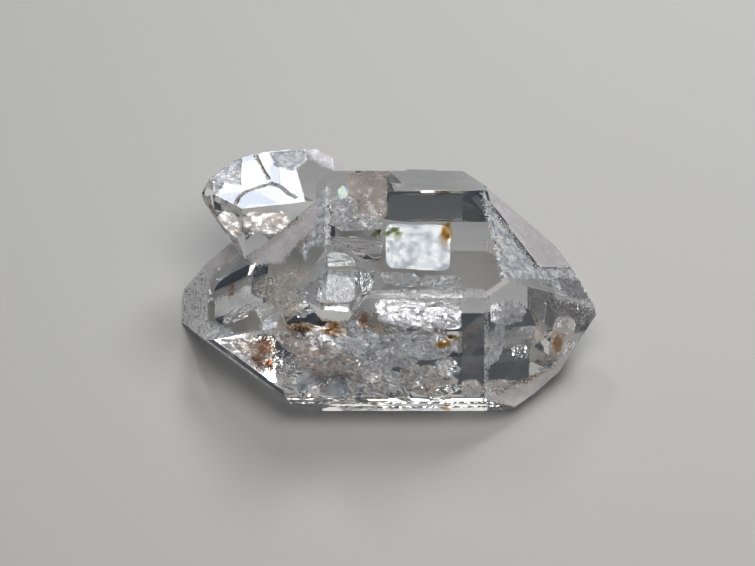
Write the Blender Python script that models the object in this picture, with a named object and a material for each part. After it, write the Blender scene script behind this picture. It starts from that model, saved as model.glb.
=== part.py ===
"""A petroleum quartz cluster, built from the faces of its crystals.

A clear crystal with a point at each end lies on one of its prism faces. A shorter crystal has grown into its
back left shoulder, and a small stub has grown over the front left corner of its top face. All three are one
stone. Each crystal starts as a block and is cut down by its own faces. A face is given the way a crystal is
described: how far its normal leans from the long axis, how far round that axis it stands, and how far it is
from the crystal's centre.
"""

from collections import namedtuple
from math import cos, radians, sin

import bmesh
import bpy
from mathutils import Euler, Matrix, Vector

MM = 0.001
NODE = "quartz_cluster"
CUTTERS = "cutters"

# A prism face's normal is square to the long axis. Quartz's end faces lean 51.8 degrees from it.
PRISM = 90.0
RHOMB = 51.8

# end: 1 towards the right tip and -1 towards the left tip. A prism face belongs to neither and has 1.
# lean: degrees from the long axis to the face's normal.
# around: degrees about the long axis, with 0 at the front and 90 at the top.
# reach: millimetres from the crystal's centre to the face.
Face = namedtuple("Face", "end lean around reach")

# Where a crystal's centre is, in millimetres from the main crystal's centre, and how it is turned, in degrees.
Seat = namedtuple("Seat", "centre turn")

# The main crystal is flattened between its top face and the face that it rests on.
TOP = Face(1, PRISM, 90.0, 2.99)
FRONT_UPPER = Face(1, PRISM, 30.0, 4.25)
FRONT_LOWER = Face(1, PRISM, -30.0, 5.81)
REST = Face(1, PRISM, -90.0, 3.50)
BACK_LOWER = Face(1, PRISM, -150.0, 4.44)
BACK_UPPER = Face(1, PRISM, 150.0, 6.03)
FROSTED_END = Face(1, 52.6, 97.5, 5.60)
CLEAR_END = Face(1, RHOMB, 30.0, 6.21)
LEFT_SLOPE = Face(-1, 52.9, 91.7, 4.30)
LEFT_FRONT = Face(-1, RHOMB, 30.0, 6.49)
MAIN_SEAT = Seat((0.0, 0.0, 0.0), (0.0, 0.0, 0.0))
MAIN_FACES = (
    TOP,
    FRONT_UPPER,
    FRONT_LOWER,
    REST,
    BACK_LOWER,
    BACK_UPPER,
    # The right point.
    FROSTED_END,
    CLEAR_END,
    Face(1, RHOMB, -30.0, 8.35),
    Face(1, RHOMB, -90.0, 7.09),
    Face(1, RHOMB, -150.0, 6.50),
    Face(1, RHOMB, 150.0, 6.98),
    # The left point.
    LEFT_SLOPE,
    LEFT_FRONT,
    Face(-1, RHOMB, -30.0, 7.52),
    Face(-1, RHOMB, 150.0, 7.12),
    # The rough rim and the blunt tip at the left.
    Face(-1, 30.0, 90.0, 6.97),
    Face(-1, 18.3, -103.3, 10.68),
    # Bevels under both ends and at the right tip.
    Face(-1, 54.0, -44.0, 7.15),
    Face(1, 56.0, -60.0, 7.69),
    Face(1, 28.0, 175.8, 8.62),
    # Slim bevels along the top face's front edge and its right front corner.
    Face(1, PRISM, 60.0, 4.12),
    Face(1, 68.3, 64.0, 5.43),
    # Narrow steps along the bevel under the left end.
    Face(-1, 47.3, 9.3, 7.35),
    Face(-1, 47.4, -17.8, 7.69),
    # Narrow steps along the front's lower edge.
    Face(1, PRISM, 10.5, 5.37),
    Face(1, PRISM, -11.7, 5.93),
)

SHOULDER_TOP = Face(1, PRISM, 90.0, 1.35)
SHOULDER_BACK = Face(1, PRISM, 150.0, 3.00)
SHOULDER_SEAT = Seat((-5.48, 4.31, 1.13), (0.0, -4.2, 4.3))
SHOULDER_FACES = (
    SHOULDER_TOP,
    Face(1, PRISM, 30.0, 1.46),
    Face(1, PRISM, -30.0, 3.05),
    Face(1, PRISM, -90.0, 4.30),
    Face(1, PRISM, -150.0, 3.35),
    SHOULDER_BACK,
    # The left point, blunted by two slopes along its upper edge and a lip along its lower one.
    Face(-1, RHOMB, 90.0, 2.84),
    Face(-1, RHOMB, 30.0, 2.13),
    Face(-1, RHOMB, 150.0, 3.71),
    Face(-1, RHOMB, -150.0, 2.38),
    Face(-1, RHOMB, -90.0, 1.78),
    Face(-1, 78.3, 150.9, 3.08),
    Face(-1, 60.9, 152.8, 3.41),
    Face(-1, 31.0, 5.6, 2.59),
    # The right point, which leans out over the main crystal's back.
    Face(1, RHOMB, 90.0, 2.95),
    Face(1, RHOMB, 30.0, 3.40),
    Face(1, RHOMB, 150.0, 3.70),
    Face(1, RHOMB, -30.0, 3.87),
    Face(1, RHOMB, -90.0, 5.32),
    Face(1, RHOMB, -150.0, 5.06),
)

# The stub's long axis points to the back and a little up, so its right tip is its back end.
STUB_TOP = Face(1, PRISM, 90.0, 1.41)
STUB_LEFT = Face(1, 84.3, 141.6, 1.20)
STUB_RIGHT = Face(1, 88.7, 37.8, 1.60)
STUB_SEAT = Seat((-2.43, -1.77, 2.74), (0.0, -14.0, 90.0))
STUB_FACES = (
    STUB_TOP,
    STUB_LEFT,
    STUB_RIGHT,
    Face(-1, 75.0, -90.0, 2.16),
    # The back end, which comes down to the main crystal's top face.
    Face(1, 55.2, 90.0, 0.95),
    Face(1, 53.1, 52.6, 1.19),
    Face(1, 68.6, 142.7, 1.01),
    Face(1, 10.1, 90.0, 1.92),
    # The foot, which overhangs the front.
    Face(-1, 1.8, -19.5, 2.20),
    Face(-1, 39.4, 176.3, 2.16),
    Face(-1, 44.6, -3.8, 1.91),
)

# A ledge is a layer of growth that stops part of the way over a face: the face it grows on, how far it stands
# out and the sides where it stops, in millimetres.
Ledge = namedtuple("Ledge", "face rise sides")
LEDGE_INSET = 0.03

MAIN_LEDGES = (
    # The smooth strip along the outer edge of the frosted end.
    Ledge(FROSTED_END, 0.07, (Face(-1, 58.7, 35.1, -3.35), Face(1, 61.2, -17.3, 3.02))),
    # Low bands across the front.
    Ledge(FRONT_UPPER, 0.04, (Face(-1, 0.0, 0.0, -3.44), Face(1, 0.0, 0.0, 3.79))),
    Ledge(FRONT_UPPER, 0.03, (Face(-1, 0.0, 0.0, -0.05), Face(1, 0.0, 0.0, 0.34))),
    # Broad steps on the back.
    Ledge(BACK_UPPER, 0.08, (Face(-1, 0.0, 0.0, -0.90), Face(1, 8.0, 150.0, 3.10))),
    Ledge(BACK_LOWER, 0.08, (Face(-1, 6.0, -150.0, 2.70), Face(1, 0.0, 0.0, 1.60))),
)
SHOULDER_LEDGES = (Ledge(SHOULDER_BACK, 0.06, (Face(-1, 0.0, 0.0, 0.60), Face(1, 10.0, 150.0, 1.50))),)
STUB_LEDGES = (
    # The striations that run up the stub's sides.
    Ledge(STUB_LEFT, 0.04, (Face(1, PRISM, 60.0, 0.62), Face(1, PRISM, -120.0, -0.36))),
    Ledge(STUB_RIGHT, 0.04, (Face(1, PRISM, 120.0, 0.62), Face(1, PRISM, -60.0, -0.30))),
)

# The left corner of the shoulder crystal's top face is a lower platform.
PLATFORM = (
    Face(1, PRISM, -90.0, -1.24),
    Face(1, 4.3, 0.0, -1.55),
    Face(-1, 69.7, 0.0, -0.10),
)

BLOCK = 40.0
QUARTZ_IOR = 1.544
QUARTZ_POLISH = 0.03


def normal_of(face):
    lean = radians(face.lean)
    around = radians(face.around)
    return Vector((face.end * cos(lean), -sin(lean) * cos(around), sin(lean) * sin(around)))


def cut_block(name, faces, seat, collection):
    """A block cut down to what lies inside every face, then turned and put on its seat."""
    shape = bmesh.new()
    bmesh.ops.create_cube(shape, size=BLOCK * MM)
    for face in faces:
        normal = normal_of(face)
        cut = bmesh.ops.bisect_plane(
            shape,
            geom=shape.verts[:] + shape.edges[:] + shape.faces[:],
            dist=1e-8,
            plane_co=normal * face.reach * MM,
            plane_no=normal,
            clear_outer=True,
        )
        rim = [piece for piece in cut["geom_cut"] if isinstance(piece, bmesh.types.BMEdge)]
        bmesh.ops.holes_fill(shape, edges=rim)
    bmesh.ops.recalc_face_normals(shape, faces=shape.faces)
    mesh = bpy.data.meshes.new(name)
    shape.to_mesh(mesh)
    shape.free()
    solid = bpy.data.objects.new(name, mesh)
    solid.location = Vector(seat.centre) * MM
    solid.rotation_euler = Euler([radians(angle) for angle in seat.turn])
    collection.objects.link(solid)
    return solid


def ledge_faces(faces, ledge):
    """The crystal's own faces a little further in, with the ledge's face standing out and its sides added."""
    layer = []
    for face in faces:
        shift = ledge.rise if face == ledge.face else -LEDGE_INSET
        layer.append(face._replace(reach=face.reach + shift))
    return tuple(layer) + ledge.sides


def combine(solid, other, operation):
    modifier = solid.modifiers.new(operation.lower(), "BOOLEAN")
    modifier.operation = operation
    modifier.solver = "EXACT"
    modifier.object = other


def apply_modifiers(solid):
    shown = bpy.context.evaluated_depsgraph_get()
    mesh = bpy.data.meshes.new_from_object(solid.evaluated_get(shown))
    solid.modifiers.clear()
    solid.data = mesh


def stand_on_origin(solid):
    """Moves the solid so that the middle of its box stands on the origin."""
    corners = [vertex.co for vertex in solid.data.vertices]
    low = [min(corner[axis] for corner in corners) for axis in range(3)]
    high = [max(corner[axis] for corner in corners) for axis in range(3)]
    middle = Vector(((low[0] + high[0]) / 2, (low[1] + high[1]) / 2, low[2]))
    solid.data.transform(Matrix.Translation(-middle))


def quartz():
    material = bpy.data.materials.new("clear quartz")
    material.use_nodes = True
    shader = material.node_tree.nodes["Principled BSDF"]
    shader.inputs["Base Color"].default_value = (0.97, 0.98, 1.0, 1.0)
    shader.inputs["Roughness"].default_value = QUARTZ_POLISH
    shader.inputs["IOR"].default_value = QUARTZ_IOR
    shader.inputs["Transmission Weight"].default_value = 1.0
    return material


def new_collection(name):
    collection = bpy.data.collections.new(name)
    bpy.context.scene.collection.children.link(collection)
    return collection


def hide_cutter(cutter):
    cutter.hide_render = True
    cutter.display_type = "WIRE"


def build():
    for leftover in list(bpy.data.objects):
        bpy.data.objects.remove(leftover)
    parts = new_collection(NODE)
    cutters = new_collection(CUTTERS)
    cutters.hide_render = True

    cluster = cut_block(NODE, MAIN_FACES, MAIN_SEAT, parts)
    joined = [
        cut_block("shoulder", SHOULDER_FACES, SHOULDER_SEAT, cutters),
        cut_block("stub", STUB_FACES, STUB_SEAT, cutters),
    ]
    for owner, faces, seat, ledges in (
        ("main", MAIN_FACES, MAIN_SEAT, MAIN_LEDGES),
        ("shoulder", SHOULDER_FACES, SHOULDER_SEAT, SHOULDER_LEDGES),
        ("stub", STUB_FACES, STUB_SEAT, STUB_LEDGES),
    ):
        for place, ledge in enumerate(ledges, start=1):
            joined.append(cut_block(f"{owner}_ledge_{place}", ledge_faces(faces, ledge), seat, cutters))
    for solid in joined:
        combine(cluster, solid, "UNION")
    platform = cut_block("platform_cut", PLATFORM, SHOULDER_SEAT, cutters)
    combine(cluster, platform, "DIFFERENCE")
    for cutter in joined + [platform]:
        hide_cutter(cutter)

    apply_modifiers(cluster)
    stand_on_origin(cluster)
    cluster.data.materials.clear()
    cluster.data.materials.append(quartz())


build()
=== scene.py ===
import random
from collections import namedtuple
from math import atan2, cos, floor, pi, radians, sin, sqrt

import bmesh
import bpy
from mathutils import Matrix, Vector, noise
from mathutils.bvhtree import BVHTree


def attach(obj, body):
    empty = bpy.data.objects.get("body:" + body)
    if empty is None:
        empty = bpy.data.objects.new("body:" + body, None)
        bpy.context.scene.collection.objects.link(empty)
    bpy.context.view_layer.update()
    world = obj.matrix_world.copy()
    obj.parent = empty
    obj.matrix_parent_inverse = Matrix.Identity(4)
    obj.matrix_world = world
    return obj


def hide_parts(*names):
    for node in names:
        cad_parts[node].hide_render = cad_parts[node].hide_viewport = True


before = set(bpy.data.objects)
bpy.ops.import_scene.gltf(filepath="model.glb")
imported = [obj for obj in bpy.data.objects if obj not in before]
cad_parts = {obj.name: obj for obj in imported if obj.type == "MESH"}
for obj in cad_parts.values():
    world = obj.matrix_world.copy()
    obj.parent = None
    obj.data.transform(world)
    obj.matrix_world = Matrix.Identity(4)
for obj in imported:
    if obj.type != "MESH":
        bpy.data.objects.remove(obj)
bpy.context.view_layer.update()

# A petroleum quartz cluster. Lengths are in millimetres until they go into a mesh. What lies inside the stone
# is placed by the pixel of the photograph where it shows and by the face that it is seen through, because the
# stone bends the camera's line.
MM = 0.001
QUARTZ_IOR = 1.544

# The main crystal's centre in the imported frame.
MAIN_CENTRE = Vector((-0.0292, -1.194, 3.5))

# The photograph looks down on the crystal's front. A pixel of it is this many millimetres on the crystal, and
# the main crystal's centre falls on this pixel.
LOOK_DOWN = radians(46)
PIXEL = 0.0485
CENTRE_PIXEL = (388.0, 291.0)
PICTURE_WIDTH = 755
PICTURE_MIDDLE = (377.5, 283.0)
TO_CAMERA = Vector((0, -cos(LOOK_DOWN), sin(LOOK_DOWN)))
PICTURE_UP = Vector((0, sin(LOOK_DOWN), cos(LOOK_DOWN)))
SIDEWAYS = Vector((1, 0, 0))

# A long lens and its sensor's width. The long lens keeps the picture's lines parallel.
LENS = 600
SENSOR = 36

# The key panel stands where the shoulder crystal's top face mirrors it to the camera.
KEY_PLACE = MAIN_CENTRE + Vector((-23.8, 87.0, 86.0))
# The back lamp stands where no outer face mirrors it, and lights the cracks inside.
LAMP_PLACE = MAIN_CENTRE + Vector((45.0, 75.0, 90.0))
# The softbox hangs over the front. Further back, the front face would show it as a white patch.
SOFTBOX_PLACE = MAIN_CENTRE + Vector((20.0, -34.0, 135.0))

# A crystal face, given as the part's source gives it. end: 1 for the right tip, -1 for the left tip. lean:
# degrees from the long axis to the face's normal. around: degrees about that axis, with 0 towards the front
# and 90 up. reach: millimetres from the main crystal's centre.
Face = namedtuple("Face", "end lean around reach")
TOP = Face(1, 90.0, 90.0, 2.99)
FRONT_UPPER = Face(1, 90.0, 30.0, 4.25)
FRONT_LOWER = Face(1, 90.0, -30.0, 5.81)
CLEAR_END = Face(1, 51.8, 30.0, 6.21)
FROSTED_END = Face(1, 52.6, 97.5, 5.60)
SMOOTH_STRIP = Face(1, 52.6, 97.5, 5.67)
LEFT_SLOPE = Face(-1, 52.9, 91.7, 4.30)
LEFT_FRONT = Face(-1, 51.8, 30.0, 6.49)
ROUGH_RIM = Face(-1, 30.0, 90.0, 6.97)
LEFT_TIP = Face(-1, 18.3, -103.3, 10.68)
RIGHT_TIP = Face(1, 28.0, 175.8, 8.62)
CORNER_BEVEL = Face(1, 68.3, 64.0, 5.43)
LEFT_UNDER_STEP = Face(-1, 47.4, -17.8, 7.69)
RIGHT_UNDER_BEVEL = Face(1, 56.0, -60.0, 7.69)
SHOULDER_TOP = Face(-1, 85.8, 89.7, 2.85)
SHOULDER_PLATFORM = Face(-1, 85.8, 89.7, 2.74)
SHOULDER_FRONT = Face(1, 88.4, 29.9, -1.87)
SHOULDER_LEFT = Face(-1, 53.7, 25.5, 2.64)
SHOULDER_CORNER = Face(1, 56.1, 92.9, 1.01)
STUB_FRONT = Face(1, 90.0, 76.0, 4.50)
STUB_FOOT = Face(1, 88.3, -14.6, 3.15)
STUB_BACK = Face(-1, 90.0, 110.8, 2.88)
STUB_LEFT = Face(-1, 38.8, 85.1, 4.90)
STUB_RIGHT = Face(1, 37.8, 78.1, 1.55)
STUB_MILKY = (STUB_FRONT, STUB_FOOT)
STUB_SIDES = (
    STUB_BACK,
    STUB_LEFT,
    STUB_RIGHT,
    Face(-1, 42.2, 108.9, 4.17),
    Face(-1, 38.8, 85.1, 4.94),
    Face(1, 60.9, 119.4, 1.34),
    Face(1, 45.5, -17.7, 0.81),
    Face(1, 37.8, 78.1, 1.59),
    Face(-1, 50.7, -11.0, 4.64),
)


def normal_of(face):
    """The way a crystal face looks."""
    lean = radians(face.lean)
    around = radians(face.around)
    return Vector((face.end * cos(lean), -sin(lean) * cos(around), sin(lean) * sin(around)))


def linear(hex_colour):
    """An sRGB hex colour as linear red, green, blue and alpha."""
    channels = [int(hex_colour[i : i + 2], 16) / 255 for i in (1, 3, 5)]
    return tuple(c / 12.92 if c <= 0.04045 else ((c + 0.055) / 1.055) ** 2.4 for c in channels) + (1.0,)


def into_stone(outside, face):
    """A direction outside the stone as it runs after the face has bent it."""
    normal = normal_of(face)
    along = (outside - normal * outside.dot(normal)) / QUARTZ_IOR
    return along + normal * sqrt(1 - along.length_squared)


def at_pixel(x, y):
    """The place that a pixel shows, level with the main crystal's centre."""
    return MAIN_CENTRE + SIDEWAYS * (x - CENTRE_PIXEL[0]) * PIXEL + PICTURE_UP * (CENTRE_PIXEL[1] - y) * PIXEL


def pixel_of(point):
    """The photograph's pixel for a point."""
    away = point - MAIN_CENTRE
    return CENTRE_PIXEL[0] + away.x / PIXEL, CENTRE_PIXEL[1] - away.dot(PICTURE_UP) / PIXEL


def on_face(x, y, face):
    """Where the camera's line through a pixel meets a face."""
    start = at_pixel(x, y)
    normal = normal_of(face)
    offset = (start - MAIN_CENTRE).dot(normal)
    return start + TO_CAMERA * (face.reach - offset) / TO_CAMERA.dot(normal)


def inside(x, y, face, depth):
    """What shows at a pixel through a face, this many millimetres along the bent line."""
    return on_face(x, y, face) - into_stone(TO_CAMERA, face) * depth


def mirror(seen, lit, point):
    """The normal with which a surface inside the stone mirrors the back lamp, by way of two faces."""
    to_lamp = (LAMP_PLACE - point).normalized()
    return (into_stone(TO_CAMERA, seen) + into_stone(to_lamp, lit)).normalized()


def within(x, y, outline):
    """True for a pixel inside a closed outline of pixels."""
    inner = False
    for (ax, ay), (bx, by) in zip(outline, outline[1:] + outline[:1]):
        if (ay > y) != (by > y) and x < (bx - ax) * (y - ay) / (by - ay) + ax:
            inner = not inner
    return inner


def from_line(x, y, line):
    """How many pixels a pixel is from a broken line."""
    spot = Vector((x, y, 0))
    gaps = []
    for (ax, ay), (bx, by) in zip(line, line[1:]):
        start, run = Vector((ax, ay, 0)), Vector((bx - ax, by - ay, 0))
        share = min(1, max(0, (spot - start).dot(run) / run.length_squared))
        gaps.append((spot - start - run * share).length)
    return min(gaps)


def node(tree, kind, settings=None, **links):
    """Adds a node. A setting is an input's value or the node's own, and a link names the input it feeds."""
    made = tree.nodes.new(kind)
    for name, value in (settings or {}).items():
        if name in made.inputs:
            made.inputs[name].default_value = value
        else:
            setattr(made, name, value)
    for name, source in links.items():
        tree.links.new(source, made.inputs[name.replace("_", " ")])
    return made


# A finish's pattern of grains and pits. width: of a grain, in millimetres. roughness: in the pits and on the
# grains. bump: how strongly the grains stand out. pit_colour: the colour in the pits: a real stain or tint in
# some finishes, painted shade in the frosted and pitted ones. change: the two values of the noise between
# which a pit turns into a grain.
Grain = namedtuple("Grain", "width roughness bump pit_colour change")
# How high a bump's full strength stands.
BUMP_HEIGHT = 0.01


def stone_material(name, colour, clear, roughness, grain=None, film=None):
    """Quartz, from scattering (clear 0) to glassy (clear 1). film: nanometres of air between crack walls."""
    mat = bpy.data.materials.new(name)
    mat.use_nodes = True
    tree = mat.node_tree
    shader = tree.nodes["Principled BSDF"]
    shader.inputs["Base Color"].default_value = linear(colour)
    shader.inputs["Roughness"].default_value = roughness
    shader.inputs["IOR"].default_value = QUARTZ_IOR
    shader.inputs["Transmission Weight"].default_value = clear
    if film:
        shader.inputs["Thin Film Thickness"].default_value = film
    if grain:
        low, high = grain.change
        place = node(tree, "ShaderNodeTexCoord")
        per_grain = (1 / (grain.width * MM),) * 3
        scaled = node(tree, "ShaderNodeMapping", {"Scale": per_grain}, Vector=place.outputs["Object"])
        look = {"Scale": 1.0, "Detail": 6.0, "Roughness": 0.65}
        speck = node(tree, "ShaderNodeTexNoise", look, Vector=scaled.outputs[0]).outputs["Fac"]
        # Low noise makes the pits, sunk by the bump and given pit_colour, which is painted shade in the
        # frosted and pitted finishes.
        tones = node(tree, "ShaderNodeValToRGB", Fac=speck)
        pit, top = tones.color_ramp.elements
        pit.position, pit.color = low, linear(grain.pit_colour)
        top.position, top.color = high, linear(colour)
        tree.links.new(tones.outputs[0], shader.inputs["Base Color"])
        span = {"From Min": low, "From Max": high, "To Min": grain.roughness[0], "To Max": grain.roughness[1]}
        gloss = node(tree, "ShaderNodeMapRange", span, Value=speck)
        tree.links.new(gloss.outputs[0], shader.inputs["Roughness"])
        raised = {"Strength": grain.bump, "Distance": BUMP_HEIGHT * MM}
        relief = node(tree, "ShaderNodeBump", raised, Height=speck)
        tree.links.new(relief.outputs[0], shader.inputs["Normal"])
    return mat


def oil_material(name, colour, density, thin):
    """Petroleum: a clear oil that soaks up light by its depth, with cloudy patches 0.33 mm wide."""
    mat = stone_material(name, "#ffffff", 1.0, 0.0, Grain(0.33, (0.0, 0.08), 0.2, thin, (0.35, 0.65)))
    tree = mat.node_tree
    # Oil and quartz bend light almost alike, so this small IOR stands for the step between them.
    tree.nodes["Principled BSDF"].inputs["IOR"].default_value = 1.02
    soaked = node(tree, "ShaderNodeVolumeAbsorption", {"Color": linear(colour), "Density": density})
    tree.links.new(soaked.outputs[0], tree.nodes["Material Output"].inputs["Volume"])
    return mat


# A crack or drop stays this far below the faces.
SKIN = 0.06
# Where that limit cuts a crack, its two walls end this far to either side of the limit, but never nearer than
# this to the crack's centre.
WALLS_APART = 0.01
LEAST_REACH = 0.001
# A lens has a ring of corners for each 0.25 mm of its length, within limits. Each ring has three times as
# many corners as there are rings.
RING_WIDTH = 0.25
FEWEST_RINGS = 5
MOST_RINGS = 12
# How fast a rim's raggedness changes round it, and how far apart in the noise two seeds lie.
RIM_WAVES = 2.2
SEED_STEPS = (7.3, 3.1, 1.7)


def keep_inside(shell, point):
    """The point, or the nearest place far enough below a face where it isn't in the stone."""
    face_point, outward, _, _ = shell.find_nearest(point * MM)
    if (point * MM - face_point).dot(outward) > -SKIN * 2 * MM:
        point = face_point / MM - outward * SKIN * 3
    return point


def lens(
    shape,
    shell,
    centre,
    normal,
    size,
    gap,
    waves,
    seed,
    finish,
    across=SIDEWAYS,
    ragged=0.25,
    square=2.0,
    hollow=True,
):
    """Adds two wavy walls that meet round a ragged rim, kept inside the stone's shell.

    gap: between the walls at the middle. waves: pairs of length and height. ragged: how uneven the rim is.
    square: 2 for a round outline, more for a square one. hollow: the walls face inwards.
    """
    centre = keep_inside(shell, centre)
    normal = normal.normalized()
    side = (across - normal * across.dot(normal)).normalized()
    other = normal.cross(side)
    shift = Vector([seed * step for step in SEED_STEPS])
    rings = max(FEWEST_RINGS, min(MOST_RINGS, round(max(size) / RING_WIDTH)))
    count = rings * 3
    rim = None
    for wall in (1, -1):
        rows = []
        for ring in range(rings + 1):
            if ring == rings and rim:
                rows.append(rim)
                continue
            row = []
            share = ring / rings
            for turn in range(1 if ring == 0 else count):
                angle = 2 * pi * turn / count
                c, s = cos(angle), sin(angle)
                reach = (abs(c) ** square + abs(s) ** square) ** (-1 / square)
                reach *= 1 + ragged * noise.noise(Vector((c * RIM_WAVES, s * RIM_WAVES, 0)) + shift)
                u = share * c * size[0] / 2 * reach
                v = share * s * size[1] / 2 * reach
                lift = sum(
                    tall * noise.noise(Vector((u / long, v / long, 0)) + shift) for long, tall in waves
                )
                thick = gap / 2 * (1 - share**2)
                away = side * u + other * v + normal * (lift + wall * thick)
                if away.length:
                    met = shell.ray_cast(centre * MM, away.normalized(), (away.length + SKIN) * MM)
                    if met[0]:
                        away = away.normalized() * max(LEAST_REACH, met[3] / MM - SKIN - WALLS_APART * wall)
                row.append(shape.verts.new((centre + away) * MM))
            rows.append(row)
        rim = rows[-1]
        for ring in range(1, rings + 1):
            for turn in range(count):
                after = (turn + 1) % count
                corners = [rows[ring][turn], rows[ring][after]]
                corners += [rows[0][0]] if ring == 1 else [rows[ring - 1][after], rows[ring - 1][turn]]
                if (wall == 1) == hollow:
                    corners.reverse()
                shape.faces.new(corners).material_index = finish


# The stone's finishes, as the numbers of its materials.
CLEAR, FROSTED, SATIN, CRACK, HAZE, FILM, RIM, STUB, BROWN, WARM, BLUE, PEARL = range(12)

# Rough or scattering parts of a face: face, finish, outline in pixels. A later one covers an earlier one.
PATCHES = (
    # The left end: satin on its upper edge and below the shoulder, a frosted ridge, a stain, a frosted foot.
    (
        LEFT_SLOPE,
        SATIN,
        [(180, 292), (186, 268), (205, 250), (234, 240), (242, 247), (233, 262), (214, 270), (206, 294)],
    ),
    (
        LEFT_SLOPE,
        SATIN,
        [(232, 240), (262, 236), (300, 222), (327, 186), (327, 222), (300, 240), (283, 262), (256, 266)],
    ),
    (
        LEFT_SLOPE,
        FROSTED,
        [(318, 196), (328, 186), (328, 246), (312, 246), (306, 262), (300, 250), (316, 226)],
    ),
    (
        LEFT_SLOPE,
        BROWN,
        [(257, 282), (275, 272), (303, 262), (308, 286), (300, 306), (285, 313), (266, 301), (256, 296)],
    ),
    (LEFT_SLOPE, FROSTED, [(208, 322), (222, 326), (240, 334), (236, 342), (205, 345), (200, 330)]),
    # The top: frosted along three edges, ribbed where the stub spreads over it.
    (TOP, FROSTED, [(480, 184), (490, 184), (508, 281), (502, 283), (496, 252), (488, 222), (484, 200)]),
    (TOP, FROSTED, [(324, 186), (329, 186), (330, 248), (324, 248)]),
    (TOP, FROSTED, [(365, 291), (484, 290), (484, 294), (365, 294)]),
    (TOP, STUB, [(350, 262), (380, 270), (384, 284), (378, 292), (364, 292)]),
    # The left front: a rusty stain, and satin along its edges.
    (LEFT_FRONT, BROWN, [(250, 338), (262, 332), (276, 336), (279, 362), (272, 374), (258, 362), (249, 350)]),
    (LEFT_FRONT, SATIN, [(208, 338), (284, 322), (284, 330), (232, 342), (284, 392), (276, 392)]),
    # The front: a frosted left edge, and the stub's right foot.
    (FRONT_UPPER, FROSTED, [(281, 320), (284, 320), (284, 398), (281, 398)]),
    (FRONT_UPPER, STUB, [(360, 300), (378, 298), (380, 312), (366, 322), (345, 324), (350, 318)]),
    # The clear end: satin at the top and along the bottom, a frosted left edge.
    (CLEAR_END, SATIN, [(552, 290), (596, 294), (596, 312), (580, 304), (556, 301)]),
    (CLEAR_END, FROSTED, [(484, 296), (487, 292), (487, 398), (484, 398)]),
    (CLEAR_END, SATIN, [(488, 398), (545, 372), (590, 330), (598, 312), (592, 350), (556, 396), (520, 408)]),
    # The frosted end: glossier at its foot, and a clear curved gash beside the smooth strip.
    (FROSTED_END, PEARL, [(508, 276), (552, 280), (560, 297), (541, 297), (506, 285)]),
    (FROSTED_END, PEARL, [(556, 276), (580, 278), (592, 304), (566, 299)]),
    (
        FROSTED_END,
        CLEAR,
        [(488, 203), (500, 211), (514, 225), (524, 241), (543, 266), (536, 268), (518, 246), (504, 226)],
    ),
    # The shoulder's top: etched at both sides of its bright plate, satin at the right.
    (SHOULDER_TOP, FROSTED, [(268, 150), (304, 148), (306, 160), (292, 170), (276, 166), (272, 158)]),
    (SHOULDER_TOP, SATIN, [(304, 148), (335, 148), (352, 172), (330, 168), (312, 158)]),
    (
        SHOULDER_TOP,
        FROSTED,
        [(205, 196), (214, 180), (226, 168), (240, 161), (234, 178), (222, 186), (214, 196)],
    ),
)
# A patch's edge is frayed by up to this many pixels.
FRAYED = 2.5
# How deep the relief of each finish goes in a patch.
RELIEF = {FROSTED: 0.05, SATIN: 0.006, BROWN: 0.03, RIM: 0.03, STUB: 0.012, PEARL: 0.012, CLEAR: 0.0}

# Faces that are divided finely. edge: the longest edge left. depth: of the relief all over the face.
Zone = namedtuple("Zone", "face finish edge depth")
ZONES = (
    Zone(FROSTED_END, FROSTED, 0.12, 0.07),
    Zone(SMOOTH_STRIP, SATIN, 0.15, 0.006),
    Zone(ROUGH_RIM, RIM, 0.12, 0.05),
    Zone(LEFT_TIP, RIM, 0.09, 0.014),
    Zone(RIGHT_TIP, SATIN, 0.09, 0.012),
    Zone(CORNER_BEVEL, SATIN, 0.09, 0.01),
    Zone(LEFT_UNDER_STEP, SATIN, 0.12, 0.006),
    Zone(RIGHT_UNDER_BEVEL, SATIN, 0.12, 0.012),
    Zone(SHOULDER_PLATFORM, FROSTED, 0.1, 0.03),
    Zone(SHOULDER_CORNER, SATIN, 0.12, 0.01),
    *(Zone(face, STUB, 0.1, 0.006) for face in STUB_SIDES),
    *(Zone(face, PEARL, 0.09, 0.01) for face in STUB_MILKY),
    # Clear faces, which have relief only in their patches and grooves.
    Zone(LEFT_SLOPE, CLEAR, 0.13, 0.0),
    Zone(TOP, CLEAR, 0.18, 0.0),
    Zone(LEFT_FRONT, CLEAR, 0.12, 0.0),
    Zone(FRONT_UPPER, CLEAR, 0.22, 0.0),
    Zone(CLEAR_END, CLEAR, 0.17, 0.0),
    Zone(SHOULDER_TOP, CLEAR, 0.09, 0.0),
    Zone(FRONT_LOWER, CLEAR, 0.25, 0.0),
)
# Longer than any edge: other faces stay whole.
WHOLE = 1000.0
# Refining stops after this many rounds, or when fewer than this many edges are too long.
ROUNDS = 8
FEW_EDGES = 8
# A mesh face belongs to a crystal face when it looks the same way (cosine) and lies in the same plane.
SAME_WAY = 0.9995
SAME_PLANE = 0.02

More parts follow.
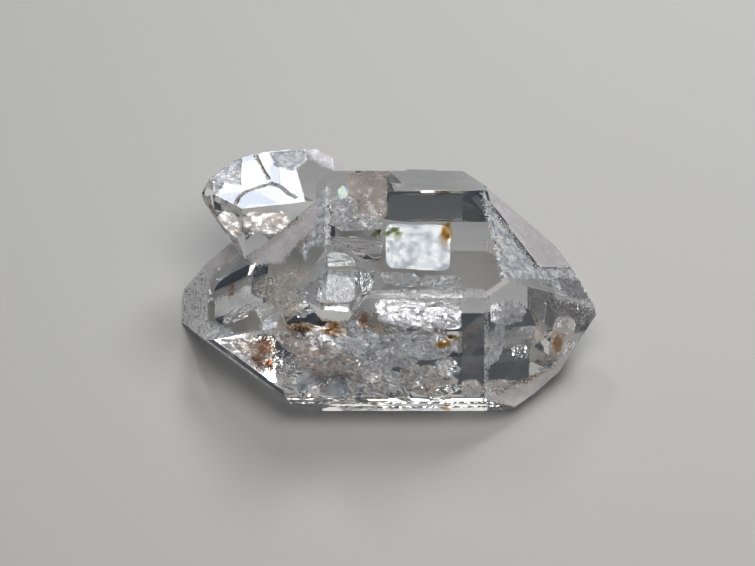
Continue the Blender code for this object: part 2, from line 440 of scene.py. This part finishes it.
# Healed cracks that reach a face and mark it with a fine groove: face, line of pixels.
GROOVES = (
    # Round and across the shoulder's bright plate.
    (
        SHOULDER_TOP,
        [(235, 206), (238, 198), (246, 191), (258, 187), (272, 183), (282, 187), (288, 193), (296, 197)],
    ),
    (SHOULDER_TOP, [(255, 154), (262, 168), (268, 178)]),
    # Growth lines along the glossy strip below the front.
    (FRONT_LOWER, [(288, 402), (360, 403), (430, 402), (512, 403)]),
    (FRONT_LOWER, [(330, 406), (400, 407), (500, 406)]),
    # Curved cracks on the clear end.
    (CLEAR_END, [(492, 306), (500, 303), (512, 304), (520, 312)]),
    (CLEAR_END, [(487, 316), (496, 312), (502, 318), (514, 322), (524, 320)]),
    (CLEAR_END, [(508, 300), (518, 303), (524, 308)]),
    (CLEAR_END, [(500, 392), (516, 382), (530, 378), (545, 373)]),
    # Slanting cracks on the front.
    (FRONT_UPPER, [(384, 348), (392, 342), (400, 338), (410, 333)]),
    (FRONT_UPPER, [(400, 392), (406, 378), (412, 368), (418, 360)]),
)
# Half a groove's width in pixels, and how shallow and deep it is.
GROOVE_SIDE = 0.65
GROOVE_DEPTH = (0.02, 0.07)

# The stub's ribs run down from the pixel of its peak. They are this high, with this many to a radian.
STUB_PEAK = (336, 236)
RIB_HEIGHT = 0.0075
RIBS_PER_RADIAN = 8


def faces_on(shape, given):
    """The mesh faces that make up a crystal face."""
    normal = normal_of(given)
    found = []
    for face in shape.faces:
        if face.normal.dot(normal) > SAME_WAY:
            reach = (face.calc_center_median() / MM - MAIN_CENTRE).dot(normal)
            if abs(reach - given.reach) < SAME_PLANE:
                found.append(face)
    return found


def triangulate_zones(shape, zone):
    bmesh.ops.triangulate(shape, faces=[face for face in shape.faces if face[zone] and len(face.verts) > 3])


def refine(shape, zone, lengths):
    """Splits long edges round by round until each zone's are as short as it asks."""
    for _ in range(ROUNDS):
        triangulate_zones(shape, zone)
        long_edges = []
        for edge in shape.edges:
            longest = min((lengths[face[zone]] for face in edge.link_faces), default=WHOLE)
            if edge.calc_length() > longest * MM:
                long_edges.append(edge)
        if len(long_edges) < FEW_EDGES:
            break
        bmesh.ops.subdivide_edges(shape, edges=long_edges, cuts=1)
    triangulate_zones(shape, zone)


def stub_rib(x, y):
    """How far the stub's face lies above a rib's crest at a pixel: 0 on the crest and less beside it."""
    turn = atan2(x - STUB_PEAK[0], y - STUB_PEAK[1]) * RIBS_PER_RADIAN
    return RIB_HEIGHT * (2 * abs(turn - floor(turn) - 0.5) - 1)


def finish_faces(shape):
    """Divides the rough faces finely, gives each part its finish, and works its relief into it."""
    zone = shape.faces.layers.int.new("zone")
    rng = random.Random(11)
    # Zone 0 is every face that no zone names.
    for number, given in enumerate(ZONES, 1):
        for face in faces_on(shape, given.face):
            face[zone] = number
            face.material_index = given.finish
    refine(shape, zone, [WHOLE] + [given.edge for given in ZONES])
    patches = {}
    for number, given in enumerate(ZONES, 1):
        patches[number] = [patch for patch in PATCHES if patch[0] == given.face]
    for face in shape.faces:
        if patches.get(face[zone]):
            x, y = pixel_of(face.calc_center_median() / MM)
            x += rng.uniform(-FRAYED, FRAYED)
            y += rng.uniform(-FRAYED, FRAYED)
            for _, finish, outline in patches[face[zone]]:
                if within(x, y, outline):
                    face.material_index = finish
    for vert in shape.verts:
        numbers = {face[zone] for face in vert.link_faces}
        # Vertices on an edge between faces stay where they are, so that the crystal keeps its edges.
        if len(numbers) > 1 or 0 in numbers:
            continue
        given = ZONES[numbers.pop() - 1]
        x, y = pixel_of(vert.co / MM)
        drop = rng.uniform(-given.depth * 0.2, given.depth)
        if given.finish in (STUB, PEARL):
            drop -= stub_rib(x, y)
        if given.finish == CLEAR:
            drop = rng.uniform(0, min(RELIEF[face.material_index] for face in vert.link_faces))
            if any(owner == given.face and from_line(x, y, line) < GROOVE_SIDE for owner, line in GROOVES):
                drop += rng.uniform(*GROOVE_DEPTH)
        vert.co -= normal_of(given.face) * drop * MM


# How a crack's walls wave, as pairs of length and height.
FINE = ((0.5, 0.06), (0.2, 0.025))
SOFT = ((1.2, 0.05), (0.4, 0.015))
CLOUDY = ((0.9, 0.05), (0.25, 0.02))
STREAKED = ((0.5, 0.03), (0.2, 0.01))
CRUMBLY = ((0.35, 0.05), (0.12, 0.02))
RIPPLED = ((0.6, 0.03), (0.25, 0.012))
GENTLE = ((0.45, 0.015), (0.15, 0.004))

# Cracks that mirror the back lamp: pixel, face seen through, face lit through, depth, size, lean to the side
# from the mirroring normal, waves, finish and how square the outline is.
Crack = namedtuple("Crack", "x y seen lit depth size lean waves finish square")
CRACKS = (
    # The bright flat crack under the top face, and the broken ones below it.
    Crack(418, 247, TOP, TOP, 2.2, (3.15, 3.0), 0.0, ((2.5, 0.012),), BLUE, 9.0),
    Crack(440, 282, TOP, TOP, 2.0, (1.9, 0.9), 0.0, FINE, HAZE, 3.0),
    Crack(400, 279, TOP, TOP, 1.8, (1.8, 0.9), 0.05, FINE, HAZE, 3.0),
    # The clouds below the shoulder crystal, and the iridescent spot.
    Crack(366, 196, TOP, TOP, 1.2, (2.1, 3.0), 0.05, ((0.9, 0.04), (0.3, 0.012)), WARM, 6.0),
    Crack(352, 221, TOP, TOP, 0.9, (2.9, 1.4), 0.0, CLOUDY, HAZE, 2.0),
    Crack(343, 205, TOP, TOP, 0.7, (1.4, 1.2), 0.0, CLOUDY, HAZE, 2.0),
    Crack(343, 193, TOP, TOP, 0.4, (0.55, 0.85), 0.0, ((0.9, 0.01),), FILM, 2.0),
    # The left end.
    Crack(244, 310, LEFT_SLOPE, LEFT_SLOPE, 0.8, (2.4, 0.7), 0.0, STREAKED, HAZE, 2.0),
    Crack(236, 318, LEFT_SLOPE, LEFT_SLOPE, 0.6, (1.6, 0.5), 0.0, STREAKED, CRACK, 2.0),
    Crack(273, 322, LEFT_SLOPE, LEFT_SLOPE, 0.9, (1.1, 0.8), 0.02, ((0.9, 0.02),), BLUE, 4.0),
    Crack(282, 290, LEFT_SLOPE, LEFT_SLOPE, 0.7, (2.2, 1.9), 0.0, CRUMBLY, HAZE, 2.0),
    Crack(300, 300, LEFT_SLOPE, LEFT_SLOPE, 0.7, (1.4, 1.6), 0.0, CRUMBLY, CRACK, 2.0),
    Crack(268, 252, LEFT_SLOPE, LEFT_SLOPE, 0.7, (3.2, 1.3), 0.0, FINE, HAZE, 2.0),
    Crack(306, 232, LEFT_SLOPE, LEFT_SLOPE, 0.6, (1.9, 2.4), 0.0, FINE, WARM, 2.0),
    Crack(252, 350, LEFT_FRONT, TOP, 0.6, (2.6, 1.5), 0.0, FINE, WARM, 2.0),
    Crack(230, 344, LEFT_FRONT, TOP, 0.4, (1.4, 0.7), 0.0, FINE, HAZE, 2.0),
    # The shoulder crystal's front.
    Crack(266, 222, SHOULDER_FRONT, SHOULDER_TOP, 0.6, (2.6, 1.4), 0.0, SOFT, WARM, 2.0),
    Crack(230, 224, SHOULDER_LEFT, SHOULDER_TOP, 0.5, (1.3, 1.6), 0.0, SOFT, WARM, 2.0),
    # The stub.
    Crack(339, 287, STUB_FRONT, STUB_FRONT, 0.25, (1.5, 1.7), 0.0, GENTLE, CRACK, 5.0),
    Crack(319, 293, STUB_LEFT, STUB_FRONT, 0.6, (1.2, 1.7), 0.0, RIPPLED, CRACK, 2.0),
    Crack(340, 260, STUB_BACK, STUB_BACK, 0.3, (1.8, 1.4), 0.0, RIPPLED, CRACK, 2.0),
    Crack(366, 281, STUB_RIGHT, STUB_RIGHT, 0.3, (1.1, 1.6), 0.0, RIPPLED, CRACK, 2.0),
    Crack(337, 309, STUB_FOOT, STUB_FRONT, 0.3, (1.6, 0.6), 0.0, ((0.6, 0.02), (0.2, 0.006)), CRACK, 2.0),
    # The milky veils behind the front.
    Crack(419, 314, FRONT_UPPER, TOP, 0.8, (4.2, 1.6), 0.0, ((1.4, 0.05), (0.3, 0.02)), HAZE, 6.0),
    Crack(322, 382, FRONT_UPPER, TOP, 0.7, (2.5, 1.7), 0.0, ((1.5, 0.03),), BLUE, 5.0),
    Crack(306, 340, FRONT_UPPER, TOP, 0.9, (2.6, 2.2), 0.05, FINE, WARM, 2.0),
    Crack(346, 338, FRONT_UPPER, TOP, 1.1, (2.9, 2.0), -0.04, FINE, HAZE, 2.0),
    Crack(372, 352, FRONT_UPPER, TOP, 1.3, (2.6, 2.6), 0.04, FINE, HAZE, 2.0),
    Crack(330, 360, FRONT_UPPER, TOP, 1.5, (3.4, 1.9), 0.0, FINE, WARM, 2.0),
    Crack(366, 384, FRONT_UPPER, TOP, 1.0, (2.8, 1.5), 0.0, FINE, HAZE, 2.0),
    Crack(396, 350, FRONT_UPPER, TOP, 1.7, (2.8, 2.2), 0.06, FINE, HAZE, 2.0),
    Crack(430, 346, FRONT_UPPER, TOP, 1.2, (2.8, 1.6), -0.06, FINE, HAZE, 2.0),
    Crack(428, 380, FRONT_UPPER, TOP, 1.4, (2.8, 1.9), 0.0, FINE, WARM, 2.0),
    Crack(472, 388, FRONT_UPPER, TOP, 0.5, (1.1, 1.1), 0.0, FINE, WARM, 2.0),
    # The right end.
    Crack(507, 313, CLEAR_END, TOP, 0.6, (2.0, 1.4), 0.0, SOFT, HAZE, 3.0),
    Crack(529, 330, CLEAR_END, TOP, 0.8, (0.6, 0.6), 0.0, ((0.5, 0.02),), HAZE, 2.0),
    Crack(494, 352, CLEAR_END, TOP, 0.5, (0.8, 3.6), 0.0, FINE, HAZE, 3.0),
    Crack(562, 338, CLEAR_END, TOP, 0.9, (1.3, 2.6), 0.05, SOFT, WARM, 4.0),
    Crack(520, 352, CLEAR_END, TOP, 1.0, (1.0, 1.0), 0.1, ((0.4, 0.06), (0.15, 0.02)), CRACK, 2.0),
    Crack(506, 388, CLEAR_END, TOP, 0.6, (2.0, 1.1), 0.0, FINE, WARM, 2.0),
)
CRACK_GAP = 0.014
# A crack this square or more has a clean rim, and the others a ragged one.
SQUARE = 4
CLEAN_RIM = 0.05
RAGGED_RIM = 0.3

# Small cracks strewn behind the front: how many, between which pixels and depths, how far they lean from the
# mirroring normal, their smallest and largest size each way, their gap and their waves.
SMALL_CRACKS = 22
SMALL_CRACKS_X = (292, 455)
SMALL_CRACKS_Y = (318, 396)
SMALL_CRACKS_DEPTH = (0.25, 2.2)
SMALL_CRACKS_LEAN = (0.16, 0.12)
SMALL_CRACKS_LONG = (0.7, 2.2)
SMALL_CRACKS_WIDE = (0.6, 1.6)
SMALL_CRACKS_GAP = 0.02
SMALL_CRACKS_WAVES = ((0.7, 0.09), (0.2, 0.025))

# Smooth cracks that mirror the dim room or the shadow beside the stone, and look dark: pixel, face seen
# through, depth, size, and the way inside the stone in which they turn the view.
DARK_CRACKS = (
    (445, 206, TOP, 1.9, (6.2, 2.7), (0, 0.893, 0.45)),
    (357, 249, TOP, 1.3, (2.4, 2.2), (0, -0.893, -0.45)),
    (242, 292, LEFT_SLOPE, 1.2, (3.2, 4.0), (-0.31, 0.877, 0.36)),
)
DARK_CRACK_GAP = 0.01
DARK_CRACK_WAVES = ((2.5, 0.004),)

# Where each group's seeds start.
CRACK_SEEDS = 2
SMALL_CRACK_SEEDS = 40
BUBBLE_SEEDS = 60
OIL_SEEDS = 80
DARK_CRACK_SEEDS = 91


def crack_shapes(shape, shell):
    """Adds all the cracks: those placed one by one, the strewn small ones and the dark ones."""
    for number, crack in enumerate(CRACKS):
        centre = inside(crack.x, crack.y, crack.seen, crack.depth)
        normal = mirror(crack.seen, crack.lit, centre) + SIDEWAYS * crack.lean
        ragged = RAGGED_RIM if crack.square < SQUARE else CLEAN_RIM
        seed = number + CRACK_SEEDS
        lens(
            shape, shell, centre, normal, crack.size, CRACK_GAP, crack.waves, seed, crack.finish,
            ragged=ragged, square=crack.square,
        )
    rng = random.Random(5)
    for number in range(SMALL_CRACKS):
        x, y = rng.uniform(*SMALL_CRACKS_X), rng.uniform(*SMALL_CRACKS_Y)
        centre = inside(x, y, FRONT_UPPER, rng.uniform(*SMALL_CRACKS_DEPTH))
        lean = Vector([rng.gauss(0, spread) for spread in SMALL_CRACKS_LEAN] + [0])
        normal = mirror(FRONT_UPPER, TOP, centre) + lean
        size = (rng.uniform(*SMALL_CRACKS_LONG), rng.uniform(*SMALL_CRACKS_WIDE))
        across = Vector((1, rng.uniform(-1, 1), 0))
        seed = number + SMALL_CRACK_SEEDS
        gap, waves = SMALL_CRACKS_GAP, SMALL_CRACKS_WAVES
        lens(shape, shell, centre, normal, size, gap, waves, seed, CRACK, across=across)
    for number, (x, y, seen, depth, size, out) in enumerate(DARK_CRACKS):
        centre = inside(x, y, seen, depth)
        normal = into_stone(TO_CAMERA, seen) + Vector(out)
        seed = number + DARK_CRACK_SEEDS
        lens(
            shape, shell, centre, normal, size, DARK_CRACK_GAP, DARK_CRACK_WAVES, seed, CRACK,
            ragged=0.1, square=6.0,
        )


# Sheets of tiny bubbles: pixel, face seen through, depth, size of the sheet, bubbles per square millimetre.
BUBBLE_SHEETS = (
    (440, 283, TOP, 0.5, (1.8, 0.9), 27),
    (400, 280, TOP, 0.6, (1.4, 0.6), 18),
    (515, 368, CLEAR_END, 0.6, (1.4, 2.4), 22),
    (505, 312, CLEAR_END, 0.3, (2.0, 1.2), 18),
    (492, 250, TOP, 0.25, (0.9, 3.6), 27),
    (240, 290, LEFT_SLOPE, 0.3, (3.4, 1.6), 11),
    (280, 290, LEFT_SLOPE, 0.3, (2.0, 1.9), 27),
    (330, 345, FRONT_UPPER, 0.4, (4.4, 2.4), 11),
    (430, 352, FRONT_UPPER, 0.5, (2.6, 3.2), 9),
    (354, 208, TOP, 0.4, (2.4, 3.2), 10),
)
# A sheet is this thick in the middle, leans a little from the face above it, and waves.
SHEET_GAP = 0.02
SHEET_LEAN = Vector((0.05, 0.05, 0))
SHEET_WAVES = ((1.0, 0.1),)
# The largest bubble's radius, and the smallest bubble's share of it.
BUBBLE_RADIUS = 0.035
SMALLEST_BUBBLE = 0.3


def bubble_tree():
    """Strews tiny round hollows over a sheet."""
    tree = bpy.data.node_groups.new("bubble sheet", "GeometryNodeTree")
    tree.interface.new_socket("Sheet", in_out="INPUT", socket_type="NodeSocketGeometry")
    tree.interface.new_socket("Bubbles per Square Metre", in_out="INPUT", socket_type="NodeSocketFloat")
    tree.interface.new_socket("Bubble Radius", in_out="INPUT", socket_type="NodeSocketFloat")
    tree.interface.new_socket("Bubbles", in_out="OUTPUT", socket_type="NodeSocketGeometry")
    given = node(tree, "NodeGroupInput").outputs
    points = node(tree, "GeometryNodeDistributePointsOnFaces", {"Seed": 3}, Mesh=given[0], Density=given[1])
    ball = node(tree, "GeometryNodeMeshIcoSphere", {"Subdivisions": 1}, Radius=given[2])
    share = node(tree, "FunctionNodeRandomValue")
    share.inputs[2].default_value = SMALLEST_BUBBLE
    share.inputs[3].default_value = 1.0
    balls = node(
        tree,
        "GeometryNodeInstanceOnPoints",
        Points=points.outputs[0],
        Instance=ball.outputs[0],
        Scale=share.outputs[1],
    )
    real = node(tree, "GeometryNodeRealizeInstances", Geometry=balls.outputs[0])
    hollow = node(tree, "GeometryNodeFlipFaces", Mesh=real.outputs[0])
    dressed = node(tree, "GeometryNodeSetMaterial", Geometry=hollow.outputs[0])
    dressed.inputs["Material"].default_value = bpy.data.materials["crack wall"]
    node(tree, "NodeGroupOutput", Bubbles=dressed.outputs[0])
    return tree


def bubbles(shape, shell):
    """Adds each sheet's bubbles to the stone. The sheet itself only carries them."""
    tree = bubble_tree()
    sizes = [item for item in tree.interface.items_tree if item.socket_type == "NodeSocketFloat"]
    per_area, radius = [item.identifier for item in sizes]
    for number, (x, y, seen, depth, size, count) in enumerate(BUBBLE_SHEETS):
        sheet = bmesh.new()
        centre = inside(x, y, seen, depth)
        normal = normal_of(seen) + SHEET_LEAN
        seed = number + BUBBLE_SEEDS
        lens(sheet, shell, centre, normal, size, SHEET_GAP, SHEET_WAVES, seed, CLEAR, hollow=False)
        mesh = bpy.data.meshes.new("bubble sheet")
        sheet.to_mesh(mesh)
        sheet.free()
        holder = bpy.data.objects.new("bubble sheet", mesh)
        bpy.context.scene.collection.objects.link(holder)
        strewn = holder.modifiers.new("bubbles", "NODES")
        strewn.node_group = tree
        strewn[per_area] = count / MM**2
        strewn[radius] = BUBBLE_RADIUS * MM
        made = bpy.data.meshes.new_from_object(holder.evaluated_get(bpy.context.evaluated_depsgraph_get()))
        first = len(shape.faces)
        shape.from_mesh(made)
        shape.faces.ensure_lookup_table()
        for face in shape.faces[first:]:
            face.material_index = CRACK
        holder.modifiers.clear()
        bpy.data.objects.remove(holder)


def quartz_materials():
    """Each finish of the stone, in the order of their numbers. Quartz bends light with an IOR of 1.544."""
    return (
        # Rock crystal with its own smooth faces: see-through, with sharp reflections.
        stone_material("clear quartz", "#ffffff", 1.0, 0.0),
        # Etched quartz: pits and grains 0.1 to 0.3 mm wide that scatter a cold white and sparkle. The pits
        # are painted a darker blue-grey, which is painted shade.
        stone_material(
            "frosted quartz", "#ffffff", 0.3, 0.2,
            Grain(0.32, (0.3, 0.06), 0.5, "#a7afbd", (0.4, 0.6)),
        ),
        # Lightly etched quartz: an even sheen with a faint warm cast and soft clouds half a millimetre wide.
        stone_material(
            "satin quartz", "#fffafc", 0.4, 0.3,
            Grain(0.5, (0.4, 0.2), 0.2, "#e5e1e4", (0.35, 0.62)),
        ),
        # The wall of an open crack: mirrors a lamp and otherwise hardly shows.
        stone_material("crack wall", "#ffffff", 1.0, 0.0),
        # A partly healed crack: its wall is finely pitted, which turns the mirror into a silvery haze.
        stone_material(
            "hazy crack wall", "#fffdfc", 0.8, 0.3,
            Grain(0.25, (0.38, 0.15), 0.25, "#f1f5fb", (0.38, 0.6)),
        ),
        # A crack with a film of air 420 nanometres thick: shows rainbow colours, mostly blue and green.
        stone_material("iridescent crack wall", "#dfe8ff", 1.0, 0.1, film=420.0),
        # Pitted quartz: pale, with pits painted dark grey as painted shade. Real ones are finer, and are
        # drawn
        # 0.1 mm wide to show.
        stone_material(
            "pitted rim quartz", "#ffffff", 0.2, 0.3,
            Grain(0.17, (0.5, 0.12), 0.6, "#697074", (0.4, 0.47)),
        ),
        # The stub's side faces: glassy, with fine growth ribs that bend what lies behind.
        stone_material(
            "ribbed quartz", "#ffffff", 0.9, 0.02,
            Grain(0.25, (0.03, 0.0), 0.1, "#f2f6fc", (0.4, 0.6)),
        ),
        # Quartz with a little petroleum dried into its pits: golden brown grains 0.2 mm wide.
        stone_material(
            "stained quartz", "#ffffff", 0.95, 0.15,
            Grain(0.22, (0.25, 0.03), 0.5, "#d6c096", (0.4, 0.6)),
        ),
        # A healed crack with a trace of oil: the same haze, tinted a warm pinkish beige.
        stone_material(
            "warm crack wall", "#fff9f4", 0.8, 0.35,
            Grain(0.4, (0.42, 0.2), 0.25, "#f2dfcf", (0.38, 0.6)),
        ),
        # A flat crack: nearly smooth, so that it shines a soft bluish white.
        stone_material(
            "bluish crack wall", "#f6faff", 0.9, 0.2,
            Grain(0.6, (0.25, 0.12), 0.1, "#dbe8f6", (0.38, 0.6)),
        ),
        # The stub's front: quartz made a little milky by tiny bubbles, below a glossy ribbed face.
        stone_material(
            "milky quartz", "#ffffff", 0.85, 0.02,
            Grain(0.3, (0.03, 0.0), 0.1, "#eff4fb", (0.4, 0.6)),
        ),
    )


def quartz_piece():
    """The stone with its finishes and hollows, made on a copy of the solid. Returns the solid's shell."""
    finishes = quartz_materials()
    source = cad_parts["quartz_cluster"]
    shape = bmesh.new()
    shape.from_mesh(source.data)
    bmesh.ops.remove_doubles(shape, verts=shape.verts, dist=1e-7)
    bmesh.ops.dissolve_limit(shape, angle_limit=radians(0.5), verts=shape.verts, edges=shape.edges)
    shape.normal_update()
    shell = BVHTree.FromBMesh(shape)
    finish_faces(shape)
    crack_shapes(shape, shell)
    bubbles(shape, shell)
    mesh = bpy.data.meshes.new("quartz")
    shape.to_mesh(mesh)
    shape.free()
    piece = bpy.data.objects.new("quartz", mesh)
    bpy.context.scene.collection.objects.link(piece)
    for mat in finishes:
        piece.data.materials.append(mat)
    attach(piece, "root")
    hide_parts("quartz_cluster")
    return shell


GOLDEN, GREEN, AMBER, RUSTY = range(4)
# Name, colour that passes through, how fast the rest is soaked up (per metre) and the tint of cloudy patches.
OIL_KINDS = (
    # Fresh light oil: honey gold, deepest where a drop is thickest.
    ("golden petroleum", "#dcbd52", 14000, "#f6e6b4"),
    # Light oil that glows a little in daylight: olive green.
    ("green petroleum", "#7f8f24", 14000, "#e4e8b8"),
    # Oil dried to a thin resin in a crack: pale amber brown.
    ("amber stain", "#d6ad66", 8000, "#f3e2c8"),
    # The same with iron rust in it: reddish brown.
    ("rusty stain", "#bb7044", 8000, "#efd2c0"),
)

# Petroleum sealed in the stone: pixel, face seen through, depth, size, kind.
OILS = (
    (446, 229, TOP, 1.6, (0.55, 1.3), GOLDEN),
    (376, 236, TOP, 1.5, (0.65, 0.75), GREEN),
    (393, 230, TOP, 1.7, (0.75, 0.5), GREEN),
    (444, 343, FRONT_UPPER, 0.3, (0.75, 0.5), GOLDEN),
    (452, 338, FRONT_UPPER, 0.35, (0.6, 0.3), GOLDEN),
    (300, 326, FRONT_UPPER, 0.12, (1.3, 0.6), AMBER),
    (330, 327, FRONT_UPPER, 0.15, (1.6, 0.8), AMBER),
    (366, 322, FRONT_UPPER, 0.2, (0.6, 0.9), AMBER),
    (262, 352, LEFT_FRONT, 0.12, (1.0, 1.4), RUSTY),
    (268, 366, LEFT_FRONT, 0.12, (0.6, 0.6), RUSTY),
    (226, 262, LEFT_SLOPE, 0.1, (0.4, 0.6), AMBER),
    (532, 379, CLEAR_END, 0.15, (1.2, 0.5), AMBER),
    (558, 342, CLEAR_END, 0.15, (0.7, 1.1), AMBER),
)
# A place of oil is a heap of ragged films. Each is this much smaller and this much deeper than the last, and
# the largest takes up this share of the place's size.
FILMS = 7
FILM_SHRINKS = 0.11
FILM_STEP = 0.11
FILM_SHARE = 0.75
FILM_THICKNESS = 0.1
FILM_WAVES = ((0.3, 0.02),)


def oil_place(shape, shell, number, x, y, seen, depth, size):
    """Adds one place of oil."""
    rng = random.Random(number)
    for film in range(FILMS):
        share = 1 - FILM_SHRINKS * film
        film_size = [length * share * FILM_SHARE for length in size]
        aside = [rng.uniform(-1, 1) * length / 3 / PIXEL for length in size]
        centre = inside(x + aside[0], y + aside[1], seen, depth + film * FILM_STEP)
        across = Vector((1, rng.uniform(-1, 1), 0))
        seed = number * FILMS + film + OIL_SEEDS
        lens(
            shape, shell, centre, normal_of(seen), film_size, FILM_THICKNESS, FILM_WAVES, seed, CLEAR,
            across=across, ragged=0.8, hollow=False,
        )


def oil_pieces(shell):
    """One piece for each kind of oil, sealed inside the stone."""
    for kind, (name, colour, density, thin) in enumerate(OIL_KINDS):
        shape = bmesh.new()
        for number, (*place, wanted) in enumerate(OILS):
            if wanted == kind:
                oil_place(shape, shell, number, *place)
        mesh = bpy.data.meshes.new(name)
        shape.to_mesh(mesh)
        shape.free()
        piece = bpy.data.objects.new(name.replace(" ", "_"), mesh)
        bpy.context.scene.collection.objects.link(piece)
        piece.data.materials.append(oil_material(name, colour, density, thin))
        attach(piece, "root")


def panel(name, place, size, radiance, colour):
    """A soft panel of the given radiance that faces the crystal."""
    data = bpy.data.lights.new(name, "AREA")
    data.shape = "RECTANGLE"
    data.size = size[0] * MM
    data.size_y = size[1] * MM
    data.energy = radiance * pi * data.size * data.size_y
    data.color = linear(colour)[:3]
    lamp = bpy.data.objects.new(name, data)
    bpy.context.scene.collection.objects.link(lamp)
    lamp.location = place * MM
    lamp.rotation_euler = (MAIN_CENTRE - place).to_track_quat("-Z", "Y").to_euler()


def stage():
    """A pale floor just below the stone, a dim room and three soft panels."""
    bpy.ops.mesh.primitive_plane_add(size=2.0, location=(0, 0, -0.00002))
    ground = bpy.context.object
    ground.name = "floor"
    # Matt pale paper, with no pattern of its own.
    mat = bpy.data.materials.new("pale floor")
    mat.use_nodes = True
    shader = mat.node_tree.nodes["Principled BSDF"]
    shader.inputs["Base Color"].default_value = linear("#d6d6d3")
    shader.inputs["Roughness"].default_value = 0.8
    ground.data.materials.append(mat)
    world = bpy.data.worlds.new("dim room")
    world.use_nodes = True
    world.node_tree.nodes["Background"].inputs["Color"].default_value = linear("#343940")
    bpy.context.scene.world = world
    panel("key panel", KEY_PLACE, size=(12.4, 28), radiance=16, colour="#eaf2ff")
    panel("back lamp", LAMP_PLACE, size=(42, 42), radiance=10, colour="#ffffff")
    panel("overhead softbox", SOFTBOX_PLACE, size=(100, 80), radiance=3.6, colour="#fffaf4")


def camera():
    """The camera at the photograph's viewing angle, far enough away that its pixels fit the crystal's."""
    data = bpy.data.cameras.new("camera")
    data.lens = LENS
    data.sensor_width = SENSOR
    data.clip_start = 0.01
    cam = bpy.data.objects.new("camera", data)
    bpy.context.scene.collection.objects.link(cam)
    distance = PICTURE_WIDTH * PIXEL * LENS / SENSOR
    cam.location = (at_pixel(*PICTURE_MIDDLE) + TO_CAMERA * distance) * MM
    cam.rotation_euler = (-TO_CAMERA).to_track_quat("-Z", "Y").to_euler()
    bpy.context.scene.camera = cam


oil_pieces(quartz_piece())
stage()
camera()
# Light passes through many faces and crack walls before it leaves the stone.
scene = bpy.context.scene
scene.cycles.use_denoising = True
scene.cycles.max_bounces = 32
scene.cycles.transmission_bounces = 32
scene.cycles.transparent_max_bounces = 32
scene.cycles.glossy_bounces = 16
scene.cycles.diffuse_bounces = 6
scene.view_settings.view_transform = "Standard"
